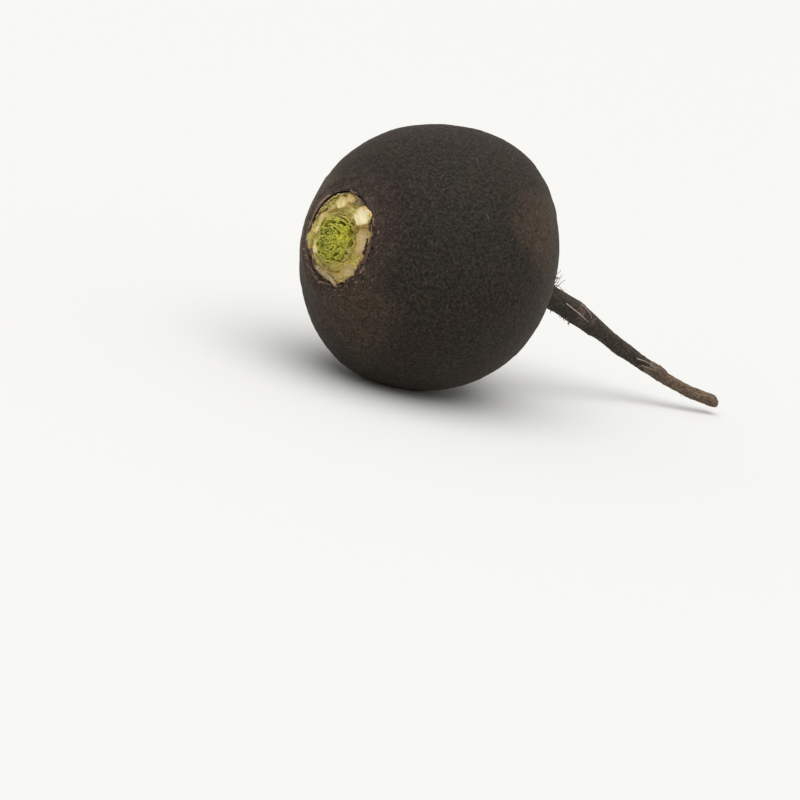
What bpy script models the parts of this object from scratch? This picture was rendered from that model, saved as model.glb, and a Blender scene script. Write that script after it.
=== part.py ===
"""A whole black radish lying on its side, as dug and topped.

It has three pieces: the round dark taproot with its long thin tail, the ring of cut leaf stalks set in
the shallow dish at its crown, and the tight green heart of young leaves that stands inside the ring.

Metres, +Z up. The origin is the middle of the small flat spot that the root rests on. The crown looks
along -X and a little upwards, and the tail runs towards +X and droops to just above the ground."""

import math

import bmesh
import bpy
import numpy as np
from mathutils import Matrix, Vector

MM = 0.001
GAP = 0.3 * MM

# The root's body is an oval about this centre, with its crown end a little higher than its tail end.
BODY_CENTRE = Vector((2.6 * MM, -0.8 * MM, 42.5 * MM))
AXIS_DROOP = math.radians(5.8)
AXIS_YAW = math.radians(1.4)
POLAR_RADIUS = 43.0 * MM
GIRTH_RADIUS = 41.7 * MM

# The oval is drawn out along a slant, by this share of its radius. A direction here is its angle from
# the crown in degrees, and its turn in degrees clockwise from straight up as seen from the crown.
SLANT = (111, 14)
SLANT_SHARE = 0.021
# Broad swellings and hollows of the body: each one's direction, how tight it is, and its height as a
# share of the body's radius.
SWELLINGS = (
    (111, 14, 9, 0.048),
    (72, -170, 9, 0.044),
    (136, 85, 7, -0.038),
    (44, -101, 4, -0.022),
    (68, -32, 4, 0.009),
    (110, 152, 4, 0.019),
)

# The shallow dish that the leaf stalks grow from, with the torn lip of skin round it.
DISH_RADIUS = 14.3 * MM
DISH_FLOOR = 37.3 * MM
CROWN_FLATNESS = 0.9 * MM
DISH_WALL = 0.5 * MM
LIP_HEIGHT = 0.35 * MM
LIP_WIDTH = 1.1 * MM

# The tail leaves the body's axis at TAIL_START and passes through these points, in mm from the centre.
TAIL_START = 43.4 * MM
TAIL_LEAD_IN = 12 * MM
TAIL_ROUTE_MM = (
    (55.2, -1.8, -9.6),
    (71.8, -5.2, -16.5),
    (87.5, -9.5, -24.5),
    (102.9, -16.0, -31.5),
    (111.1, -20.4, -34.8),
    (123.2, -25.4, -37.9),
    (125.4, -26.0, -38.0),
)
TAIL_TIP_RADIUS = 2.1 * MM
NECK_FLARE = 2.8 * MM
NECK_FLARE_LENGTH = 4.5 * MM
# Each narrowing is where it starts and ends along the spine, and how much radius it takes away.
NARROWINGS = ((70 * MM, 88 * MM, 1.0 * MM), (90 * MM, 112 * MM, 0.65 * MM))
# Each knot is its place along the spine, its turn in degrees from the upper side, its length and height.
KNOT_TIGHTNESS = 2.5
KNOTS = (
    (58 * MM, 150, 3.0 * MM, 0.7 * MM),
    (69 * MM, -20, 3.2 * MM, 0.5 * MM),
    (79 * MM, 200, 2.6 * MM, 0.35 * MM),
    (97 * MM, 80, 3.0 * MM, 0.45 * MM),
    (111 * MM, -10, 2.4 * MM, 0.5 * MM),
    (134 * MM, 20, 1.6 * MM, 0.25 * MM),
)

# The rings that the root's surface is drawn over, from crown to tip. The tail's lie closer near the neck.
SEGMENTS = 40
SPINE_STEPS = 12
CROWN_RING_RADII_MM = (5, 10, 14.2, 14.55, 14.9, 15.6, 16.8, 18.5)
BODY_RINGS = 25
NECK_RINGS = 6
TAIL_RINGS = 19
TAIL_RING_CROWDING = 1.35
TIP_RINGS = 3
TIP_BLUNTNESS = 0.7
NECK_START = math.radians(160)
SWELLING_END = math.radians(140)
SKIN_COLOUR = (0.032, 0.027, 0.024)
SKIN_ROUGHNESS = 0.72

# The ring of cut leaf stalks, on a plate with a socket for the heart. Each stalk is its turn in degrees
# clockwise from straight up as seen from the crown, its distance from the axis, its width round the ring,
# its depth across it, its height above the plate, and the outward tilt of its cut in degrees.
PLATE_RADIUS = DISH_RADIUS - GAP
PLATE_BOTTOM = DISH_FLOOR + GAP
PLATE_TOP = 38.9 * MM
PLATE_BEVEL = 0.5 * MM
SOCKET_RADIUS = 8.2 * MM
SOCKET_FLOOR = 38.2 * MM
STALKS_MM = (
    (-19, 10.9, 4.8, 3.4, 2.1, 16),
    (-3, 12.7, 3.8, 2.6, 1.4, 22),
    (14, 12.9, 4.2, 2.4, 1.1, 26),
    (43, 11.9, 6.6, 5.6, 2.5, 8),
    (80, 11.2, 9.4, 4.6, 1.7, 20),
    (133, 12.1, 6.8, 4.2, 1.4, 20),
    (180, 12.4, 9.2, 2.6, 1.4, 22),
    (-128, 11.4, 4.8, 2.9, 1.8, 18),
    (-83, 11.2, 7.0, 2.7, 1.7, 20),
    (-43, 11.0, 4.6, 2.8, 1.4, 24),
)
STALK_SEGMENTS = 12
STALK_RINGS = 8
STALK_SQUARENESS = 0.4
STALK_CREASE = math.radians(35)
SCREW_MERGE = 1e-5
FLESH_COLOUR = (0.56, 0.47, 0.25)
FLESH_ROUGHNESS = 0.6

# The heart: a low core with young leaves standing out of it in a spiral, a little to the left of the
# ring's middle and below it, as seen from the crown.
HEART_OFFSET = Vector((-0.6 * MM, -1.5 * MM, 0))
HEART_BASE = SOCKET_FLOOR + GAP
CORE_RADIUS = 7.0 * MM
CORE_HEIGHT = 2.6 * MM
CORE_SEGMENTS = 20
CORE_RINGS = 8
LEAF_COUNT = 30
LEAF_RING = 7.3 * MM
LEAF_THICKNESS = 0.75 * MM
# From the innermost leaf to the outermost one.
LEAF_WIDTHS = (3.0 * MM, 5.4 * MM)
LEAF_HEIGHTS = (3.6 * MM, 3.1 * MM)
LEAF_LEANS = (math.radians(8), math.radians(42))
LEAF_ROOTS = (HEART_BASE + 1.4 * MM, HEART_BASE + 0.5 * MM)
# How far the seeded draws move each leaf's turn and lean, and the ranges they scale its size by.
TURN_DRAW = 0.2
LEAN_DRAW = 0.1
WIDTH_DRAW = (0.9, 1.15)
HEIGHT_DRAW = (0.85, 1.15)
# Form of one blade: how far it narrows to its tip, rounds its tip, is waved and is cupped.
TIP_NARROWING = 0.55
TIP_ROUNDING = 0.16
RUFFLE_HEIGHT = 0.45 * MM
RUFFLE_PACE = 2.6
CUP_DEPTH = 0.9 * MM
LEAF_COLUMNS = 5
LEAF_ROWS = 3
LEAF_CREASE = math.radians(40)
HEART_RADIUS = SOCKET_RADIUS - GAP - LEAF_THICKNESS / 2
GOLDEN_ANGLE = math.pi * (3 - math.sqrt(5))
SEED = 7
LEAF_COLOUR = (0.26, 0.33, 0.06)
LEAF_ROUGHNESS = 0.55

FLOOR_CUTTER_SIZE = 60 * MM


def smoothstep(value, low, high):
    """0 below low, 1 above high, and a smooth rise between them."""
    share = np.clip((value - low) / (high - low), 0, 1)
    return share * share * (3 - 2 * share)


def crown_axis():
    level = math.cos(AXIS_DROOP)
    return Vector((-level * math.cos(AXIS_YAW), -level * math.sin(AXIS_YAW), math.sin(AXIS_DROOP)))


def crown_frame():
    """The matrix of the crown: its Z looks out of the crown, its Y is up, and its origin is the centre."""
    outward = crown_axis()
    sideways = Vector((math.sin(AXIS_YAW), -math.cos(AXIS_YAW), 0))
    turn = Matrix((sideways, outward.cross(sideways), outward)).transposed()
    return Matrix.Translation(BODY_CENTRE) @ turn.to_4x4()


def new_material(name, colour, roughness):
    material = bpy.data.materials.new(name)
    material.use_nodes = True
    shader = material.node_tree.nodes["Principled BSDF"]
    shader.inputs["Base Color"].default_value = (*colour, 1)
    shader.inputs["Roughness"].default_value = roughness
    shader.inputs["Metallic"].default_value = 0
    return material


def new_object(name, mesh, collection, material=None):
    obj = bpy.data.objects.new(name, mesh)
    collection.objects.link(obj)
    if material:
        mesh.materials.append(material)
    return obj


def mesh_from(bm, name):
    mesh = bpy.data.meshes.new(name)
    bm.to_mesh(mesh)
    bm.free()
    return mesh


def spine():
    """Points down the middle of the root, from the crown to the tail's tip, and their distance along it.

    The body's stretch is straight. The tail's is a Catmull-Rom curve through its route points."""
    tailward = -np.array(crown_axis())
    knots = [tailward * (TAIL_START - TAIL_LEAD_IN), tailward * TAIL_START]
    knots += [np.array(point) * MM for point in TAIL_ROUTE_MM]
    knots.append(2 * knots[-1] - knots[-2])
    share = np.linspace(0, 1, SPINE_STEPS, endpoint=False)[:, None]
    points = [np.array([-tailward * POLAR_RADIUS])]
    for before, start, end, after in zip(knots, knots[1:], knots[2:], knots[3:]):
        points.append(
            start
            + 0.5 * share * (end - before)
            + share**2 * (before - 2.5 * start + 2 * end - 0.5 * after)
            + share**3 * (1.5 * (start - end) + 0.5 * (after - before))
        )
    points.append(np.array([knots[-2]]))
    points = np.concatenate(points)
    steps = np.linalg.norm(np.diff(points, axis=0), axis=1)
    return points, np.concatenate([[0], np.cumsum(steps)]) - POLAR_RADIUS


def crown_profile(radius):
    """Height along the axis of the crown's surface at this radius: the oval, its dish and its lip."""
    oval = POLAR_RADIUS * np.sqrt(1 - (radius / GIRTH_RADIUS) ** 2)
    oval = oval - CROWN_FLATNESS * (1 - smoothstep(radius, 0.8 * DISH_RADIUS, 1.8 * DISH_RADIUS))
    lip = LIP_HEIGHT * np.exp(-(((radius - DISH_RADIUS - DISH_WALL) / LIP_WIDTH) ** 2))
    outside = smoothstep(radius, DISH_RADIUS, DISH_RADIUS + DISH_WALL)
    return DISH_FLOOR + (oval + lip - DISH_FLOOR) * outside


def tail_radius(along):
    """Radius of the tail at this distance along the spine, with its flare at the neck."""
    radius = TAIL_TIP_RADIUS + NECK_FLARE * np.exp(-(((along - POLAR_RADIUS) / NECK_FLARE_LENGTH) ** 2))
    for start, end, loss in NARROWINGS:
        radius = radius + loss * (1 - smoothstep(along, start, end))
    return radius


def taproot_rings(spine_length):
    """Distance along the spine, radius and share of swelling of each ring, from crown to tip.

    The body's far half and the tail are joined by a soft maximum of their radii."""
    crown = np.array(CROWN_RING_RADII_MM) * MM
    first = math.asin(crown[-1] / GIRTH_RADIUS)
    angles = np.concatenate([
        np.linspace(first, NECK_START, BODY_RINGS + 1)[1:],
        np.linspace(NECK_START, math.pi, NECK_RINGS + 1)[1:],
    ])
    body = -POLAR_RADIUS * np.cos(angles)
    body_radius = GIRTH_RADIUS * np.sin(angles)
    joined = (body_radius**3 + tail_radius(body) ** 3) ** (1 / 3)
    joined = np.where(angles > math.pi / 2, joined, body_radius)
    tip_start = spine_length - tail_radius(spine_length)
    share = np.linspace(0, 1, TAIL_RINGS + 1)[1:] ** TAIL_RING_CROWDING
    tail = POLAR_RADIUS + (tip_start - POLAR_RADIUS) * share
    turn = np.linspace(0, math.pi / 2, TIP_RINGS + 2)[1:-1]
    tip = tip_start + (spine_length - tip_start) * np.sin(turn)
    tip_radius = tail_radius(spine_length) * np.cos(turn) ** TIP_BLUNTNESS
    along = np.concatenate([[-DISH_FLOOR], -crown_profile(crown), body, tail, tip, [spine_length]])
    radius = np.concatenate([[0], crown, joined, tail_radius(tail), tip_radius, [0]])
    swell = np.concatenate([
        np.zeros(1 + len(crown)),
        smoothstep(body_radius, crown[-1], 1.5 * crown[-1]) * (angles < math.pi / 2)
        + (1 - smoothstep(angles, SWELLING_END, math.pi)) * (angles >= math.pi / 2),
        np.zeros(len(tail) + len(tip) + 1),
    ])
    return along, radius, swell


def direction(polar, turn):
    """The unit vector at this angle from the crown and this turn round it, both in degrees."""
    polar, turn = math.radians(polar), math.radians(turn)
    local = Vector((math.sin(polar) * math.sin(turn), math.sin(polar) * math.cos(turn), math.cos(polar)))
    return np.array(crown_frame().to_3x3() @ local)


def swelling(directions):
    """Share by which the body's radius grows or shrinks in each direction from its centre."""
    total = SLANT_SHARE * (directions @ direction(*SLANT)) ** 2
    for polar, turn, tightness, height in SWELLINGS:
        total += height * np.exp(tightness * (directions @ direction(polar, turn) - 1))
    return total


def taproot_mesh():
    """A sphere whose rings are drawn out along the spine, from the dished crown to the tail's tip."""
    points, lengths = spine()
    along, radius, swell = taproot_rings(lengths[-1])
    bm = bmesh.new()
    rings = len(along) - 1
    bmesh.ops.create_uvsphere(bm, u_segments=SEGMENTS, v_segments=rings, radius=1)
    sphere = np.array([vert.co for vert in bm.verts])
    ring = np.rint(np.arccos(np.clip(sphere[:, 2], -1, 1)) / math.pi * rings).astype(int)
    turn = np.arctan2(sphere[:, 1], sphere[:, 0])
    place = along[ring]
    centre = np.stack([np.interp(place, lengths, points[:, k]) for k in range(3)], 1)
    ahead = np.stack([np.interp(place + MM, lengths, points[:, k]) for k in range(3)], 1)
    behind = np.stack([np.interp(place - MM, lengths, points[:, k]) for k in range(3)], 1)
    tangent = ahead - behind
    tangent /= np.linalg.norm(tangent, axis=1)[:, None]
    upward = np.array([0, 0, 1]) - tangent[:, 2:] * tangent
    upward /= np.linalg.norm(upward, axis=1)[:, None]
    sideways = np.cross(upward, tangent)
    girth = radius[ring]
    for where, side, length, height in KNOTS:
        around = np.exp(KNOT_TIGHTNESS * (np.cos(turn - math.radians(side)) - 1))
        girth = girth + height * around * np.exp(-(((place - where) / length) ** 2)) * (girth > 0)
    outward = np.cos(turn)[:, None] * upward + np.sin(turn)[:, None] * sideways
    surface = centre + girth[:, None] * outward
    directions = surface / np.linalg.norm(surface, axis=1)[:, None]
    surface *= (1 + swelling(directions) * swell[ring])[:, None]
    for vert, co in zip(bm.verts, surface):
        vert.co = co
    mesh = mesh_from(bm, "taproot")
    mesh.shade_smooth()
    return mesh


def floor_cutter(collection):
    """A block below the ground, whose top face cuts the flat spot that the root rests on."""
    bm = bmesh.new()
    bmesh.ops.create_cube(bm, size=FLOOR_CUTTER_SIZE)
    cutter = new_object("floor_cutter", mesh_from(bm, "floor_cutter"), collection)
    cutter.location = (0, 0, -FLOOR_CUTTER_SIZE / 2)
    cutter.hide_render = True
    cutter.display_type = "WIRE"
    return cutter


def build_taproot(parts, cutters):
    skin = new_material("black_skin", SKIN_COLOUR, SKIN_ROUGHNESS)
    taproot = new_object("taproot", taproot_mesh(), parts, skin)
    taproot.location = BODY_CENTRE
    cut = taproot.modifiers.new("flat_spot", "BOOLEAN")
    cut.operation = "DIFFERENCE"
    cut.solver = "EXACT"
    cut.object = floor_cutter(cutters)


def plate_mesh():
    """The disc that the stalks grow from, as a profile from the middle out that Screw turns."""
    profile = (
        (0, SOCKET_FLOOR),
        (SOCKET_RADIUS, SOCKET_FLOOR),
        (SOCKET_RADIUS + PLATE_BEVEL, PLATE_TOP),
        (PLATE_RADIUS - PLATE_BEVEL, PLATE_TOP),
        (PLATE_RADIUS, PLATE_TOP - PLATE_BEVEL),
        (PLATE_RADIUS, PLATE_BOTTOM + PLATE_BEVEL),
        (PLATE_RADIUS - PLATE_BEVEL, PLATE_BOTTOM),
        (0, PLATE_BOTTOM),
    )
    bm = bmesh.new()
    verts = [bm.verts.new((x, 0, z)) for x, z in profile]
    for start, end in zip(verts, verts[1:]):
        bm.edges.new((start, end))
    return mesh_from(bm, "plate")


def shift_socket(mesh):
    """Moves the socket to the heart's place, and leaves the plate's rim where it is."""
    for vert in mesh.vertices:
        share = smoothstep(vert.co.xy.length, SOCKET_RADIUS + PLATE_BEVEL, PLATE_RADIUS - PLATE_BEVEL)
        vert.co += HEART_OFFSET * float(1 - share)


def stalk_mesh(turn, distance, width, depth, height, tilt):
    """One cut stalk: a rounded column bent round the ring, its top cut flat and tilted outwards."""
    bm = bmesh.new()
    bmesh.ops.create_uvsphere(bm, u_segments=STALK_SEGMENTS, v_segments=STALK_RINGS, radius=1)
    root = PLATE_BOTTOM + GAP
    for vert in bm.verts:
        x, y, z = vert.co
        level = math.copysign(abs(z) ** STALK_SQUARENESS, z)
        reach = y * depth / 2
        cut = PLATE_TOP + height - (reach + depth / 2) * math.tan(tilt)
        tall = root + (PLATE_TOP + height - root) * (level + 1)
        around = turn + x * width / 2 / distance
        out = distance + reach
        vert.co = (out * math.sin(around), out * math.cos(around), min(tall, cut))
    return mesh_from(bm, "stalk")


def between(ends, share):
    return ends[0] + (ends[1] - ends[0]) * share


def leaf_mesh(index, rng):
    """One young leaf: a cupped blade with a rounded, waved tip, leaning out from the heart's middle."""
    share = (index + 0.5) / LEAF_COUNT
    distance = LEAF_RING * math.sqrt(share)
    turn = index * GOLDEN_ANGLE + rng.uniform(-TURN_DRAW, TURN_DRAW)
    width = between(LEAF_WIDTHS, share) * rng.uniform(*WIDTH_DRAW)
    height = between(LEAF_HEIGHTS, share) * rng.uniform(*HEIGHT_DRAW)
    lean = between(LEAF_LEANS, share) + rng.uniform(-LEAN_DRAW, LEAN_DRAW)
    wave = rng.uniform(0, 2 * math.pi)
    root = between(LEAF_ROOTS, share)
    bm = bmesh.new()
    bmesh.ops.create_grid(bm, x_segments=LEAF_COLUMNS, y_segments=LEAF_ROWS, size=1)
    for vert in bm.verts:
        across, up = vert.co.x, (vert.co.y + 1) / 2
        half = width / 2 * (1 - TIP_NARROWING * up**3)
        ruffle = RUFFLE_HEIGHT * up * math.sin(RUFFLE_PACE * across + wave)
        cup = -CUP_DEPTH * across**2 * (0.4 + 0.6 * up)
        tip = height * (up - TIP_ROUNDING * up * across**2)
        out = distance + cup + ruffle + tip * math.sin(lean)
        side = across * half
        squeeze = min(1, HEART_RADIUS / math.hypot(out, side))
        vert.co = (
            squeeze * (out * math.sin(turn) + side * math.cos(turn)),
            squeeze * (out * math.cos(turn) - side * math.sin(turn)),
            root + tip * math.cos(lean),
        )
    bmesh.ops.triangulate(bm, faces=bm.faces)
    return mesh_from(bm, "young_leaf")


def core_mesh():
    """The heart's low core: a dome with a flat underside."""
    bm = bmesh.new()
    bmesh.ops.create_uvsphere(bm, u_segments=CORE_SEGMENTS, v_segments=CORE_RINGS, radius=1)
    for vert in bm.verts:
        height = HEART_BASE + max(vert.co.z, 0) * CORE_HEIGHT
        vert.co = (vert.co.x * CORE_RADIUS, vert.co.y * CORE_RADIUS, height)
    flat = [vert for vert in bm.verts if vert.co.z < HEART_BASE + 1e-7]
    bmesh.ops.remove_doubles(bm, verts=flat, dist=1e-6)
    return mesh_from(bm, "heart_core")


def signed_volume(faces):
    return sum(
        face.verts[0].co.dot(face.verts[k].co.cross(face.verts[k + 1].co))
        for face in faces
        for k in range(1, len(face.verts) - 1)
    )


def keep_largest_body(mesh):
    """Drops loose scraps, and the inner walls of any hollow that the union sealed."""
    bm = bmesh.new()
    bm.from_mesh(mesh)
    left = set(bm.faces)
    bodies = []
    while left:
        body, edge_of_body = set(), [left.pop()]
        while edge_of_body:
            face = edge_of_body.pop()
            body.add(face)
            for edge in face.edges:
                for other in edge.link_faces:
                    if other in left:
                        left.remove(other)
                        edge_of_body.append(other)
        bodies.append(body)
    largest = max(bodies, key=signed_volume)
    loose = [vert for vert in bm.verts if not any(face in largest for face in vert.link_faces)]
    bmesh.ops.delete(bm, geom=loose, context="VERTS")
    bm.to_mesh(mesh)
    bm.free()


def apply_modifiers(obj):
    """Gives the object the mesh that its modifiers make, and takes them off."""
    graph = bpy.context.evaluated_depsgraph_get()
    mesh = bpy.data.meshes.new_from_object(obj.evaluated_get(graph))
    obj.modifiers.clear()
    obj.data = mesh


def fuse(target, pieces):
    """Joins every object of the collection to the target with one union, then removes them."""
    union = target.modifiers.new("union", "BOOLEAN")
    union.operation = "UNION"
    union.solver = "MANIFOLD"
    union.operand_type = "COLLECTION"
    union.collection = pieces
    bpy.context.view_layer.update()
    apply_modifiers(target)
    for piece in list(pieces.objects):
        bpy.data.objects.remove(piece)
    bpy.data.collections.remove(pieces)
    keep_largest_body(target.data)


def repeats_collection(name):
    pieces = bpy.data.collections.new(name)
    bpy.context.scene.collection.children.link(pieces)
    return pieces


def build_stalks(parts, crown):
    flesh = new_material("cut_stalk", FLESH_COLOUR, FLESH_ROUGHNESS)
    stalks = new_object("leaf_stalk_stubs", plate_mesh(), parts, flesh)
    screw = stalks.modifiers.new("turned", "SCREW")
    screw.steps = screw.render_steps = SEGMENTS
    screw.use_merge_vertices = True
    screw.merge_threshold = SCREW_MERGE
    bpy.context.view_layer.update()
    apply_modifiers(stalks)
    shift_socket(stalks.data)
    pieces = repeats_collection("stalks")
    for turn, *sizes, tilt in STALKS_MM:
        sizes = [size * MM for size in sizes]
        mesh = stalk_mesh(math.radians(turn), *sizes, math.radians(tilt))
        new_object("stalk", mesh, pieces, flesh)
    fuse(stalks, pieces)
    stalks.data.shade_smooth()
    stalks.data.set_sharp_from_angle(angle=STALK_CREASE)
    stalks.parent = crown


def build_heart(parts, crown):
    green = new_material("young_leaf", LEAF_COLOUR, LEAF_ROUGHNESS)
    rng = np.random.default_rng(SEED)
    heart = new_object("leaf_heart", core_mesh(), parts, green)
    pieces = repeats_collection("young_leaves")
    for index in range(LEAF_COUNT):
        leaf = new_object("young_leaf", leaf_mesh(index, rng), pieces, green)
        thickness = leaf.modifiers.new("thickness", "SOLIDIFY")
        thickness.thickness = LEAF_THICKNESS
        thickness.offset = 0
    fuse(heart, pieces)
    heart.data.shade_smooth()
    heart.data.set_sharp_from_angle(angle=LEAF_CREASE)
    heart.parent = crown
    heart.location = HEART_OFFSET


def main():
    for obj in list(bpy.data.objects):
        bpy.data.objects.remove(obj)
    scene = bpy.context.scene
    parts = bpy.data.collections.new("black_radish")
    cutters = bpy.data.collections.new("cutters")
    scene.collection.children.link(parts)
    scene.collection.children.link(cutters)
    crown = bpy.data.objects.new("crown", None)
    crown.matrix_world = crown_frame()
    parts.objects.link(crown)
    build_taproot(parts, cutters)
    build_stalks(parts, crown)
    build_heart(parts, crown)


main()
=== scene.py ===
import math

import bpy
import numpy as np
from mathutils import Matrix


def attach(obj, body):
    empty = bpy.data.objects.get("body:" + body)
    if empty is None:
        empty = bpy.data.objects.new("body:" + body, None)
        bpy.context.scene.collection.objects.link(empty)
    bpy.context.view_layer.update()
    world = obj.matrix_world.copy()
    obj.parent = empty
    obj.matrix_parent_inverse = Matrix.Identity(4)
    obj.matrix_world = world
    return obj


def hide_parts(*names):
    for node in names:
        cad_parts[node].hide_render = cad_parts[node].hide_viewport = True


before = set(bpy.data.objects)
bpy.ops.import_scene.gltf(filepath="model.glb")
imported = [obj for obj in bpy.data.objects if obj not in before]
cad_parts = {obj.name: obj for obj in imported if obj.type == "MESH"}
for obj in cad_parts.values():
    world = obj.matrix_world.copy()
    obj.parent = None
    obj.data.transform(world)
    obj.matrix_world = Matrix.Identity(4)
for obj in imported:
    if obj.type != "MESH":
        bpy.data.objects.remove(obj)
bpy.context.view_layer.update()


# The root. A swollen taproot that grew in one piece: a dark, dry, finely wrinkled skin over firm flesh,
# drawn out into a long tail. At the crown the skin ends in a torn lip round the shallow dish that the
# leaves were cut from. It lies on a small flat spot.

MM = 0.001
BODY_CENTRE = np.array([2.6, -0.8, 42.5]) * MM
AXIS_DROOP = math.radians(5.8)
AXIS_YAW = math.radians(1.4)
POLAR_RADIUS = 43.0 * MM
GIRTH_RADIUS = 41.7 * MM
# The crown's own directions: out of it, up along it, and to the right for someone who looks at it.
LEVEL = math.cos(AXIS_DROOP)
OUTWARD = np.array([-LEVEL * math.cos(AXIS_YAW), -LEVEL * math.sin(AXIS_YAW), math.sin(AXIS_DROOP)])
RIGHTWARD = np.array([math.sin(AXIS_YAW), -math.cos(AXIS_YAW), 0])
UPWARD = np.cross(OUTWARD, RIGHTWARD)

# Broad form: each swelling is its angle from the crown and its turn in degrees, its tightness and height.
SLANT = (111, 14)
SLANT_SHARE = 0.021
SWELLINGS = (
    (111, 14, 9, 0.048),
    (72, -170, 9, 0.044),
    (136, 85, 7, -0.038),
    (44, -101, 4, -0.022),
    (68, -32, 4, 0.009),
    (110, 152, 4, 0.019),
)

DISH_RADIUS = 14.3 * MM
DISH_FLOOR = 37.3 * MM
CROWN_FLATNESS = 0.9 * MM
DISH_WALL = 0.5 * MM
LIP_HEIGHT = 0.35 * MM
LIP_WIDTH = 1.1 * MM
CROWN_EDGE = 18.5 * MM

TAIL_START = 43.4 * MM
TAIL_ROUTE_MM = (
    (55.2, -1.8, -9.6),
    (71.8, -5.2, -16.5),
    (87.5, -9.5, -24.5),
    (102.9, -16.0, -31.5),
    (111.1, -20.4, -34.8),
    (123.2, -25.4, -37.9),
    (125.4, -26.0, -38.0),
)
TAIL_TIP_RADIUS = 2.1 * MM
NECK_FLARE = 2.8 * MM
NECK_FLARE_LENGTH = 4.5 * MM
# Each narrowing is where it starts and ends along the spine, and how much of the radius it takes. Each knot
# is its place along the spine, its turn in degrees, its length and its height.
NARROWINGS = ((70 * MM, 88 * MM, 1.0 * MM), (90 * MM, 112 * MM, 0.65 * MM))
KNOT_TIGHTNESS = 2.5
KNOTS = (
    (58 * MM, 150, 3.0 * MM, 0.7 * MM),
    (69 * MM, -20, 3.2 * MM, 0.5 * MM),
    (79 * MM, 200, 2.6 * MM, 0.35 * MM),
    (97 * MM, 80, 3.0 * MM, 0.45 * MM),
    (111 * MM, -10, 2.4 * MM, 0.5 * MM),
    (134 * MM, 20, 1.6 * MM, 0.25 * MM),
)

# The skin's grid: many points round the body, fewer round the thin tail.
BODY_COLUMNS = 432
TAIL_COLUMNS = 72


def smoothstep(value, low, high):
    """0 below low, 1 above high, and a smooth rise between them."""
    share = np.clip((value - low) / (high - low), 0, 1)
    return share * share * (3 - 2 * share)


def hill(value, middle, width):
    """1 at the middle, and a smooth fall to about a third at this width from it."""
    return np.exp(-(((value - middle) / width) ** 2))


def unit(vectors):
    """The vectors, each made one long."""
    return vectors / np.maximum(np.linalg.norm(vectors, axis=-1, keepdims=True), 1e-12)


def waves(points, shortest, longest, count, seed):
    """A smooth random field with a spread of about 1: the sum of sine waves that run in random directions,
    with lengths between the shortest and the longest, in millimetres."""
    rng = np.random.default_rng(seed)
    heading = unit(rng.normal(size=(count, 3)))
    heading *= 2 * math.pi / (MM * rng.uniform(shortest, longest, count))[:, None]
    phase = rng.uniform(0, 2 * math.pi, count)
    return np.sin(points @ heading.T + phase).sum(-1) / math.sqrt(count / 2)


def direction(polar, turn):
    """The unit vector at this angle from the crown and this turn round it, both in degrees."""
    polar, turn = math.radians(polar), math.radians(turn)
    flat = math.sin(turn) * RIGHTWARD + math.cos(turn) * UPWARD
    return math.sin(polar) * flat + math.cos(polar) * OUTWARD


def crown_profile(radius):
    """Height along the axis of the crown's surface at this radius: the oval, its dish and its lip."""
    oval = POLAR_RADIUS * np.sqrt(1 - (radius / GIRTH_RADIUS) ** 2)
    oval = oval - CROWN_FLATNESS * (1 - smoothstep(radius, 0.8 * DISH_RADIUS, 1.8 * DISH_RADIUS))
    lip = LIP_HEIGHT * hill(radius, DISH_RADIUS + DISH_WALL, LIP_WIDTH)
    outside = smoothstep(radius, DISH_RADIUS, DISH_RADIUS + DISH_WALL)
    return DISH_FLOOR + (oval + lip - DISH_FLOOR) * outside


def spine_points():
    """Points down the middle of the root from the body's centre line to the tail's tip: straight through
    the body, then a Catmull-Rom curve through the tail's route points."""
    knots = [-OUTWARD * (TAIL_START - 12 * MM), -OUTWARD * TAIL_START]
    knots += [np.array(point) * MM for point in TAIL_ROUTE_MM]
    knots.append(2 * knots[-1] - knots[-2])
    share = np.linspace(0, 1, 12, endpoint=False)[:, None]
    points = [np.array([OUTWARD * POLAR_RADIUS])]
    for before, start, end, after in zip(knots, knots[1:], knots[2:], knots[3:]):
        points.append(
            start
            + 0.5 * share * (end - before)
            + share**2 * (before - 2.5 * start + 2 * end - 0.5 * after)
            + share**3 * (1.5 * (start - end) + 0.5 * (after - before))
        )
    points.append(np.array([knots[-2]]))
    return np.concatenate(points)


spine = spine_points()
spine_length = np.linalg.norm(np.diff(spine, axis=0), axis=1)
spine_length = np.concatenate([[0], np.cumsum(spine_length)]) - POLAR_RADIUS
TAIL_END = spine_length[-1]


def on_spine(place):
    """The spine's points at these distances along it."""
    return np.stack([np.interp(place, spine_length, spine[:, k]) for k in range(3)], -1)


def tail_radius(place):
    """The tail's radius: its tip, the flare at the neck, and what each narrowing hasn't yet taken away."""
    radius = TAIL_TIP_RADIUS + NECK_FLARE * hill(place, POLAR_RADIUS, NECK_FLARE_LENGTH)
    for start, end, loss in NARROWINGS:
        radius = radius + loss * (1 - smoothstep(place, start, end))
    return radius


def swelling(directions):
    """Share by which the body's radius grows or shrinks in each direction from its centre."""
    total = SLANT_SHARE * (directions @ direction(*SLANT)) ** 2
    for polar, turn, tightness, height in SWELLINGS:
        total += height * np.exp(tightness * (directions @ direction(polar, turn) - 1))
    return total


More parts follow.
